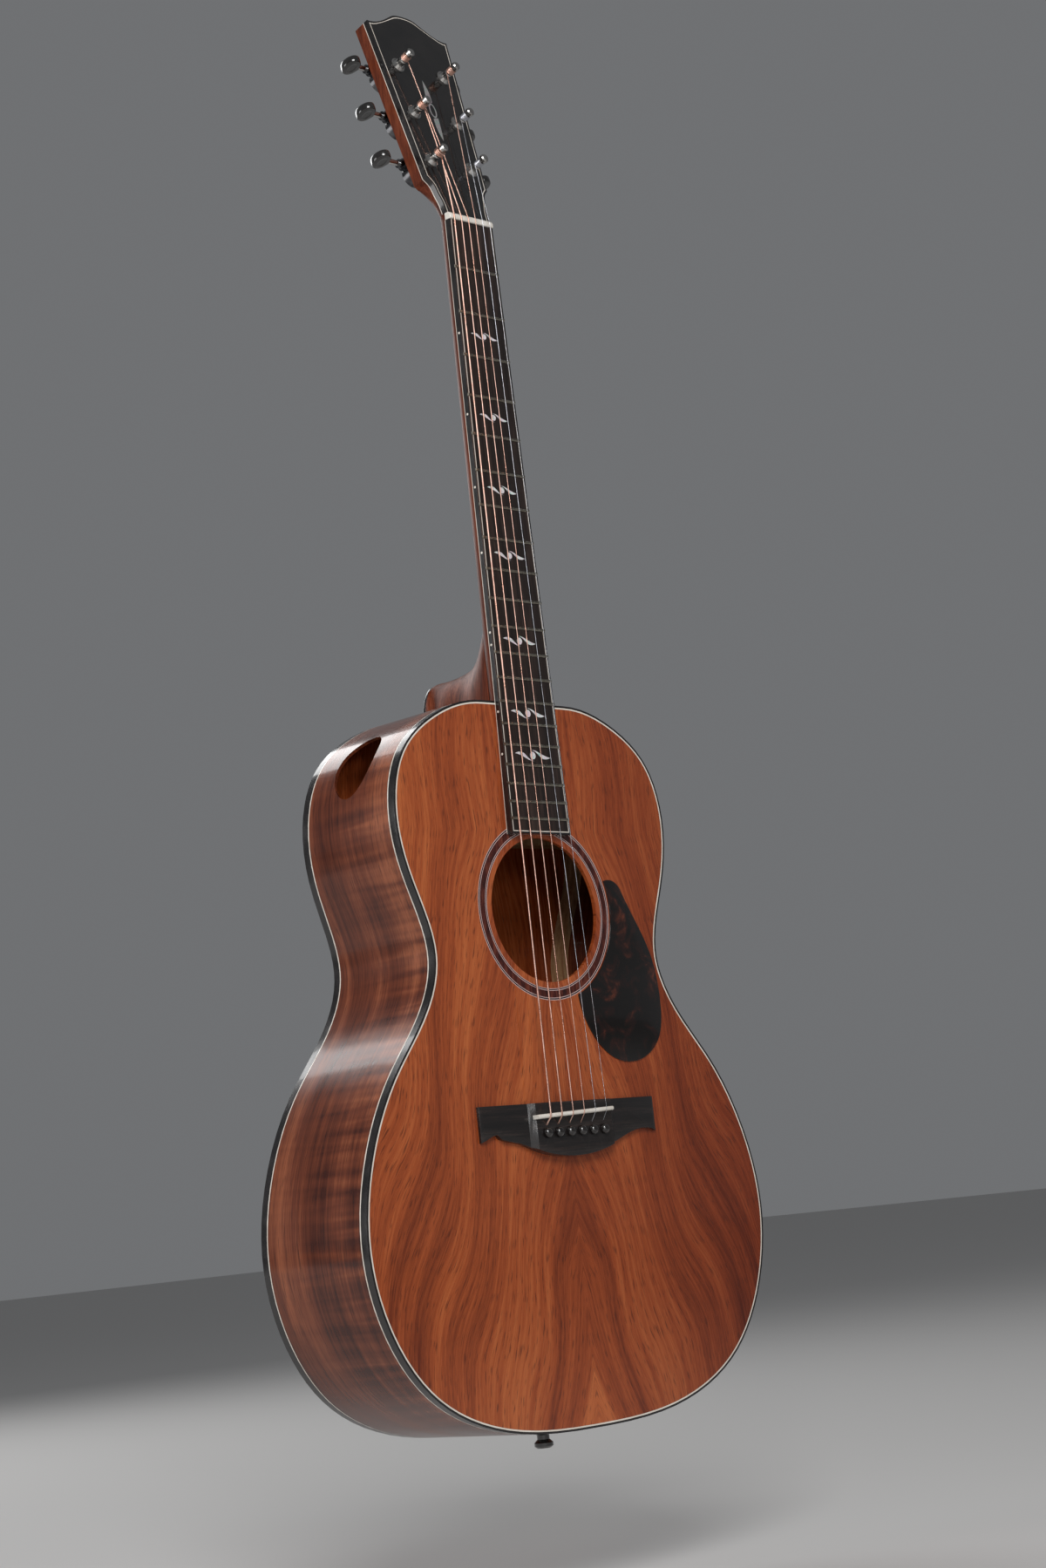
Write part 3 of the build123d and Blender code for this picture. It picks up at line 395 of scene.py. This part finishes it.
bump(tree, shader, figure, 0.04)
up_from_hole = maths(tree, "ADD", z, -hole_centre_z * MM)
across_squared, up_squared = [maths(tree, "MULTIPLY", side, side) for side in (x, up_from_hole)]
radius = maths(tree, "SQRT", maths(tree, "ADD", across_squared, up_squared))
rings = koa_band
for edge, tone in ring_edges:
    outside = maths(tree, "GREATER_THAN", radius, edge * MM)
    rings = blend_colours(tree, outside, rings, koa_band if tone is None else tone)
tree.links.new(rings, shader.inputs["Base Color"])
finishes["rosette"] = rosette
print("rosette rings:", len(ring_edges))

# %% [markdown]
# ## Tortoise, bone, pearl and gloss black
# The pickguard is imitation tortoiseshell: nearly black, with warm mottles that only show where
# the light reaches in. The nut and saddle are bone with very faint streaks. Pearl shifts in colour
# from patch to patch, because each patch is cut from a different layer of shell.

# %% Make the small inlay finishes
def mottled(name, stops, scale, rough, coat, metal=0.0, warp=0.8, grain_bump=0.03):
    finish, tree, shader = new_finish(name, rough, coat=coat)
    shader.inputs["Metallic"].default_value = metal
    x, y, z = axes_of(tree)
    patches = noise_at(tree, x, y, z, scale=scale, detail=5.0, rough=0.6, warp=warp)
    tree.links.new(ramp(tree, patches, stops), shader.inputs["Base Color"])
    dull = add(tree, "ShaderNodeMapRange", Value=patches, i1=0.3, i2=0.7, i3=rough * 0.7, i4=rough * 1.3)
    tree.links.new(dull.outputs[0], shader.inputs["Roughness"])
    bump(tree, shader, patches, grain_bump, 0.0001)
    return finish


finishes["tortoise"] = mottled(
    "tortoise", ((0.50, (0.0035, 0.002, 0.0015)), (0.60, (0.016, 0.004, 0.0025)),
                 (0.74, (0.11, 0.025, 0.010))), 60.0, 0.12, 0.5)
finishes["bone"] = mottled("bone", ((0.3, (0.66, 0.60, 0.52)), (0.7, (0.84, 0.80, 0.74))), 120.0, 0.32, 0.2)
finishes["pearl"] = mottled(
    "pearl", ((0.32, (0.36, 0.62, 0.58)), (0.44, (0.78, 0.80, 0.76)), (0.55, (0.72, 0.56, 0.66)),
              (0.66, (0.50, 0.72, 0.60))), 260.0, 0.14, 0.9, warp=1.6)
finishes["dim_pearl"] = mottled(
    "dim_pearl", ((0.32, (0.10, 0.20, 0.18)), (0.46, (0.26, 0.27, 0.25)), (0.58, (0.24, 0.17, 0.21)),
                  (0.68, (0.14, 0.22, 0.17))), 260.0, 0.18, 0.7, warp=1.6)
gloss_blacks = (("head_gloss", (0.0035, 0.003, 0.003), (0.008, 0.0065, 0.006), 0.18, 0.6),
                ("button", (0.006, 0.006, 0.006), (0.016, 0.014, 0.013), 0.16, 0.9),
                ("pin_black", (0.006, 0.005, 0.005), (0.014, 0.011, 0.010), 0.14, 0.9))
for name, tone, other, rough, coat in gloss_blacks:
    finishes[name] = plastic(name, tone, other, rough=rough, coat=coat)
print("small finishes:", len(finishes))

# %% [markdown]
# ## The metals
# Nickel-plated tuners are bright, with a fine haze from handling. Their gear housings are the same
# polished nickel, painted nearly black: painted shade for the dark surroundings they reflect. Frets
# are a duller nickel silver and the truss rod is plain steel. All are metallic shaders with
# roughness broken up by noise, because an even metal looks like a computer drawing.

# %% Make the metals
# The gear housings' nickel is painted nearly black, a painted shade; the real housings are polished like the
# posts.
metals = (("nickel", (0.46, 0.44, 0.42), (0.60, 0.59, 0.57), 0.17),
          ("nickel_in_painted_shade", (0.07, 0.07, 0.075), (0.15, 0.15, 0.155), 0.22),
          ("fret_metal", (0.26, 0.235, 0.19), (0.38, 0.35, 0.29), 0.28),
          ("string_metal", (0.55, 0.50, 0.44), (0.72, 0.66, 0.60), 0.30),
          ("steel", (0.28, 0.27, 0.26), (0.40, 0.39, 0.38), 0.38))
for name, tone, other, rough in metals:
    finishes[name] = mottled(name, ((0.35, tone), (0.65, other)), 220.0, rough, 0.0, metal=1.0, warp=0.2,
                             grain_bump=0.02)
print("metals:", [metal[0] for metal in metals])

# %% [markdown]
# ## Finish the guitar's own parts
# Each part of the model names a material slot in its record. A part whose shape is already right
# keeps its mesh and only gets the finish of its slot. The back has its own board of koa, the
# headstock's face is lacquered black with a dim inlay, and the gear housings get nickel painted
# nearly black, a painted shade.

# %% Give each part its finish
slot_of = {}
for name, node in nodes.items():
    for material_slot in node.material_slots:
        slot_of[name] = material_slot.material.name
print(sorted(set(slot_of.values())))
own_finish = {"back": "back_koa", "head_plate": "head_gloss", "head_ornament": "dim_pearl",
              "tuner_housings": "nickel_in_painted_shade"}
for name, node in nodes.items():
    chosen = finishes[own_finish.get(name, slot_of[name].split(".")[0])]
    for material_slot in node.material_slots:
        material_slot.material = chosen
print("finished parts:", len(nodes))

# %% [markdown]
# ## Softening the sawn edges
# No edge on a real guitar is razor sharp: sanding and lacquer round it, and the rounding is what
# catches the light. A part with sharp edges is copied, its loose triangles are merged into whole
# faces, and a narrow bevel goes round every corner. The copy then stands for the part.

# %% Make the softening helper
def edit(piece, select="VERT"):
    """Edit mode on one piece alone, with everything deselected."""
    bpy.ops.object.select_all(action="DESELECT")
    bpy.context.view_layer.objects.active = piece
    piece.select_set(True)
    bpy.ops.object.mode_set(mode="EDIT")
    bpy.ops.mesh.select_mode(type=select)
    bpy.ops.mesh.select_all(action="DESELECT")


def pick(piece, kind, wanted):
    """Select the faces, edges or vertices that pass a test; edit mode is left and entered again."""
    bpy.ops.object.mode_set(mode="OBJECT")
    for item in getattr(piece.data, kind):
        item.select = wanted(item)
    bpy.ops.object.mode_set(mode="EDIT")


def place(piece, body, slot, finish):
    """Apply the piece's place to its mesh, and give it a body and a finish; slot is not used."""
    if bpy.context.mode != "OBJECT":
        bpy.ops.object.mode_set(mode="OBJECT")
    bpy.ops.object.select_all(action="DESELECT")
    bpy.context.view_layer.objects.active = piece
    piece.select_set(True)
    bpy.ops.object.transform_apply(location=True, rotation=True, scale=True)
    piece.data.materials.clear()
    piece.data.materials.append(finish)
    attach(piece, body)
    return piece


def whole_copy(name, new_name):
    """A copy of a part, its triangles merged into flat faces."""
    copy = nodes[name].copy()
    copy.data = nodes[name].data.copy()
    copy.name = copy.data.name = new_name
    copy.parent = None
    for key in [key for key in copy.keys() if key.startswith("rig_")]:
        del copy[key]
    bpy.context.collection.objects.link(copy)
    edit(copy)
    bpy.ops.mesh.select_all(action="SELECT")
    bpy.ops.mesh.remove_doubles(threshold=0.000002)
    bpy.ops.mesh.dissolve_limited(angle_limit=math.radians(1.0))
    bpy.ops.object.mode_set(mode="OBJECT")
    return copy


def soften(name, new_name, width, segments=3, limit=35):
    """A copy of a part with its edges rounded by a bevel, which replaces it."""
    copy = whole_copy(name, new_name)
    bevel = copy.modifiers.new("edges", "BEVEL")
    bevel.width = width * MM
    bevel.segments = segments
    bevel.angle_limit = math.radians(limit)
    bevel.use_clamp_overlap = True
    bpy.ops.object.modifier_apply(modifier="edges")
    bpy.ops.object.shade_smooth_by_angle(angle=math.radians(32))
    place(copy, "root", slot_of[name], finishes[slot_of[name]])
    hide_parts(name)
    return copy


softened = [soften("nut", "nut_polished", 0.6), soften("saddle", "saddle_polished", 0.35),
            soften("bridge", "bridge_polished", 0.45), soften("heel_cap", "heel_cap_polished", 0.4),
            soften("pickguard", "pickguard_polished", 0.45, limit=50)]
for piece in softened:
    print(piece.name, "faces:", len(piece.data.polygons))

# %% [markdown]
# ## The headstock's own axes
# The headstock leans back from the neck, so everything on it is placed by how far up its face it
# is, how far to the side, and how high it stands off the face. One helper turns these three into
# a point, and another stands a piece upright on the face.

# %% Set up the headstock's axes
LEAN_UP, LEAN_OUT = Vector((0, 0.2596619, 0.9656996)), Vector((0, -0.9656996, 0.2596619))
post_places = [(-20.1, 51.2), (-21.6, 93.1), (-22.8, 134.8), (22.8, 134.8), (21.6, 93.1), (20.1, 51.2)]
worm_up, worm_behind = 7.752, 19.7
head_face_y = 1.1


def on_head(x, up, height):
    """The point at x, so far up the headstock's face and so high off it."""
    return (Vector((x, head_face_y, 0)) + LEAN_UP * up + LEAN_OUT * height) * MM


def stand(piece, x_axis, z_axis, point):
    """Turn a piece so that its own X and Z lie along two given axes, and move it to a point."""
    turn = Matrix((x_axis, z_axis.cross(x_axis), z_axis)).transposed().to_4x4()
    piece.matrix_world = Matrix.Translation(point) @ turn


print("first post at", [round(v, 4) for v in on_head(*post_places[0], 0)])

# %% [markdown]
# ## The strings
# The four thick strings are steel wound with bronze, and the two thin ones are plain steel. A
# string is a small ring pulled from point to point: off its post, over the nut, over the saddle
# and down beside its pin. At each corner the ring is turned to halve the angle, so the wire keeps
# its thickness. The winding itself is a fine ripple in the finish, far too fine to model.

# %% Make the strings' finishes
def wire_finish(name, tone, other, ripple):
    """A metal wire; ripple is the strength of the winding's fine turns along z."""
    finish, tree, shader = new_finish(name, 0.30)
    shader.inputs["Metallic"].default_value = 1.0
    x, y, z = axes_of(tree)
    stain = noise_at(tree, scaled(tree, x, 300.0), scaled(tree, y, 300.0), scaled(tree, z, 60.0))
    tree.links.new(ramp(tree, stain, ((0.35, tone), (0.65, other))), shader.inputs["Base Color"])
    tree.links.new(share(tree, stain, 0.3, 0.7, 0.24, 0.38), shader.inputs["Roughness"])
    turns = maths(tree, "SINE", scaled(tree, z, 2 * math.pi / (0.4 * MM)))
    bump(tree, shader, turns, ripple, 0.00005)
    return finish


finishes["bronze_string"] = wire_finish("bronze_string", (0.68, 0.38, 0.29), (0.88, 0.58, 0.48), 0.25)
finishes["plain_string"] = wire_finish("plain_string", (0.55, 0.56, 0.60), (0.74, 0.75, 0.80), 0.02)
print("string finishes made")

# %% Pull the six strings
gauges = [1.35, 1.07, 0.81, 0.61, 0.41, 0.305]
nut_spread, saddle_spread, pin_step = 35.8, 55.8, 11.2
nut_crest, saddle_crest = -1.2, -12.0
# Beside its pin a string dives into the bridge: height, place, and whether it still lies on top.
pin_dive = ((-7.9, -655.4, 1), (-7.3, -656.6, 1), (-5.6, -657.3, 0), (-3.0, -657.5, 0))
post_waist, first_turn = 2.6, 7.7
saddle_ends = ((-38.8, -651.3), (35.6, -648.5))


def saddle_z(x):
    (x0, z0), (x1, z1) = saddle_ends
    return z0 + (x - x0) * (z1 - z0) / (x1 - x0)


def pulled_wire(name, stops, radius, sides=10):
    """A wire through a list of points, made from one ring by extruding it along each run."""
    runs = [after - before for before, after in zip(stops, stops[1:])]
    slopes = [math.atan2(run.y, -run.z) for run in runs]
    facing = [slopes[0]] + [(a + b) / 2 for a, b in zip(slopes, slopes[1:])] + [slopes[-1]]
    bpy.ops.mesh.primitive_circle_add(vertices=sides, radius=radius, fill_type="NGON", location=stops[0],
                                      rotation=(facing[0], 0, 0))
    wire = bpy.context.object
    wire.name = wire.data.name = name
    edit(wire)
    bpy.ops.mesh.select_all(action="SELECT")
    for run, now, after, stop in zip(runs, facing, facing[1:], stops[1:]):
        bpy.ops.mesh.extrude_region_move(TRANSFORM_OT_translate={"value": run})
        bpy.ops.transform.rotate(value=now - after, orient_axis="X", center_override=stop)
    bpy.ops.mesh.select_all(action="SELECT")
    bpy.ops.mesh.normals_make_consistent(inside=False)
    bpy.ops.object.mode_set(mode="OBJECT")
    bpy.ops.object.shade_smooth_by_angle(angle=math.radians(50))
    return wire


for number, (gauge, (post_x, post_up)) in enumerate(zip(gauges, post_places)):
    radius = gauge / 2
    side = math.copysign(1, post_x)
    leave = on_head(post_x - side * (post_waist + radius), post_up, first_turn + radius)
    nut_x, saddle_x = nut_spread * (number / 5 - 0.5), saddle_spread * (number / 5 - 0.5)
    pin_x = pin_step * (number - 2.5)
    on_nut, crest = nut_crest - 0.4 * radius, saddle_z(saddle_x)
    stops = [(nut_x, on_nut, 2.4), (nut_x, on_nut, 0.5),
             (saddle_x, saddle_crest - 0.6 * radius, crest + 0.8),
             (saddle_x, saddle_crest - 0.4 * radius, crest - 0.7)]
    stops += [(pin_x, y - on_top * radius, z) for y, z, on_top in pin_dive]
    kind = "bronze_string" if number < 4 else "plain_string"
    wire = pulled_wire(f"string_{number + 1}", [leave] + [Vector(stop) * MM for stop in stops], radius * MM)
    place(wire, "root", "string_metal", finishes[kind])
    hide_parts("strings")
    runs = [(Vector(after) - Vector(before)).length for before, after in zip(stops, stops[1:])]
    print(wire.name, "length past the nut, mm:", round(sum(runs), 1))

# %% [markdown]
# ## The turns round the posts
# Each string is wound a few times round its post, from the face of the headstock outwards. A ring
# beside the post's axis is swept into a helix by the Screw modifier, one string's thickness per
# turn. The turns ride on the post, so that they go round with it when the tuner is turned.

# %% Wind the strings round their posts
wound_height, turn_gap = 4.3, 1.04
for number, (gauge, (post_x, post_up)) in enumerate(zip(gauges, post_places), start=1):
    radius, side = gauge / 2, math.copysign(1, post_x)
    beside_post = ((post_waist + radius) * MM, 0, 0)
    bpy.ops.mesh.primitive_circle_add(vertices=8, radius=radius * MM, location=beside_post,
                                      rotation=(math.pi / 2, 0, 0))
    coil = bpy.context.object
    coil.name = coil.data.name = f"winding_{number}"
    bpy.ops.object.transform_apply(location=True, rotation=True, scale=True)
    screw = coil.modifiers.new("turns", "SCREW")
    screw.iterations = max(2, round(wound_height / (gauge * turn_gap)))
    screw.screw_offset = gauge * turn_gap * MM
    screw.angle = -side * math.tau
    screw.steps = screw.render_steps = 24
    bpy.ops.object.modifier_apply(modifier="turns")
    edit(coil)
    bpy.ops.mesh.select_all(action="SELECT")
    bpy.ops.mesh.fill_holes(sides=0)
    bpy.ops.mesh.normals_make_consistent(inside=False)
    bpy.ops.object.mode_set(mode="OBJECT")
    bpy.ops.object.shade_smooth_by_angle(angle=math.radians(50))
    stand(coil, Vector((-side, 0, 0)), LEAN_OUT, on_head(post_x, post_up, first_turn + radius))
    place(coil, f"post_{number}", "string_metal", finishes["bronze_string" if number < 5 else "plain_string"])
    print(coil.name, "faces:", len(coil.data.polygons))

# %% [markdown]
# ## The tuner buttons
# The player turns six glossy oval buttons. Each starts as a short cylinder squashed to an oval; its
# two flat sides are inset twice and raised a little, and the face towards the headstock is drawn
# out into the stem. A subdivision then melts it all into one smooth, pillow-like shape.

# %% Shape one button and copy it to the six worms
button_middle, button_half, button_deep, button_tall = 50.0, 6.6, 8.8, 5.6
bpy.ops.mesh.primitive_cylinder_add(vertices=24, radius=MM, depth=MM)
button = bpy.context.object
button.scale = (button_half, button_deep, button_tall)
bpy.ops.object.transform_apply(location=True, rotation=True, scale=True)
edit(button, "FACE")
pick(button, "polygons", lambda face: abs(face.normal.z) > 0.9)
bpy.ops.mesh.inset(thickness=1.1 * MM)
bpy.ops.mesh.inset(thickness=2.6 * MM)
bpy.ops.transform.resize(value=(1, 1, 1.1), center_override=(0, 0, 0))
pick(button, "polygons", lambda face: face.normal.x < -0.97 and abs(face.center.z) < MM)
bpy.ops.mesh.extrude_region_move(TRANSFORM_OT_translate={"value": (-0.4 * MM, 0, 0)})
bpy.ops.transform.resize(value=(1, 0.75, 0.62), center_override=(0, 0, 0))
bpy.ops.mesh.extrude_region_move(TRANSFORM_OT_translate={"value": (-1.6 * MM, 0, 0)})
bpy.ops.object.mode_set(mode="OBJECT")
melt = button.modifiers.new("melt", "SUBSURF")
melt.levels = melt.render_levels = 2
bpy.ops.object.modifier_apply(modifier="melt")
bpy.ops.object.shade_smooth()
pattern_button = button.data
print("button, mm:", [round(v / MM, 1) for v in button.dimensions], "faces:", len(pattern_button.polygons))

for number, (post_x, post_up) in enumerate(post_places, start=1):
    side = math.copysign(1, post_x)
    knob = bpy.data.objects.new(f"button_{number}", pattern_button.copy())
    bpy.context.collection.objects.link(knob)
    stand(knob, Vector((side, 0, 0)), LEAN_UP, on_head(side * button_middle, post_up + worm_up, -worm_behind))
    place(knob, f"knob_{number}", "button", finishes["button"])
    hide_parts(f"tuner_{number}_button")
bpy.data.objects.remove(button)
print("buttons placed:", len(post_places))

# %% [markdown]
# ## The side dots
# Small white dots along the edge of the fretboard show the player the frets without leaning over.
# Each is a plug pressed into the bass edge and polished nearly flush, so it is a short disc with a
# rounded rim. The twelfth fret has two.

# %% Set the side dots
nut_half, end_half, end_z = 21.5, 29.2, -452.8
string_length = 645.0
dot_radius, dot_thick, dot_sink = 0.9, 0.8, 0.28
board_tilt, joint_down, neck_drop, octave_gap = 0.0116, 357.5, 5.1, 4.5


def fret_z(number):
    return -string_length * (1 - 2 ** (-number / 12))


def edge_x(z):
    """The half width of the fretboard at a place along it."""
    return nut_half + (end_half - nut_half) * z / end_z


dot_places = [(fret_z(number) + fret_z(number - 1)) / 2 for number in (3, 5, 7, 9, 15, 17)]
octave = (fret_z(12) + fret_z(11)) / 2
dot_places += [octave + octave_gap, octave - octave_gap]
for count, z in enumerate(dot_places, start=1):
    face_y, seat_y = 0.1 + board_tilt * z, neck_drop * max(0.0, 1 + z / joint_down)
    bpy.ops.mesh.primitive_cylinder_add(vertices=16, radius=dot_radius * MM, depth=dot_thick * MM)
    dot = bpy.context.object
    dot.name = dot.data.name = f"side_dot_{count}"
    edit(dot, "FACE")
    pick(dot, "polygons", lambda face: face.normal.z > 0.9)
    bpy.ops.mesh.bevel(offset=0.12 * MM, segments=2, affect="EDGES")
    bpy.ops.object.mode_set(mode="OBJECT")
    bpy.ops.object.shade_smooth_by_angle(angle=math.radians(40))
    on_edge = Vector((-edge_x(z) + dot_sink, (face_y + seat_y) / 2 - 0.3, z)) * MM
    stand(dot, Vector((0, 0, 1)), Vector((-1, 0, 0)), on_edge)
    place(dot, "root", "white_line", finishes["white_line"])
print("side dots:", len(dot_places))
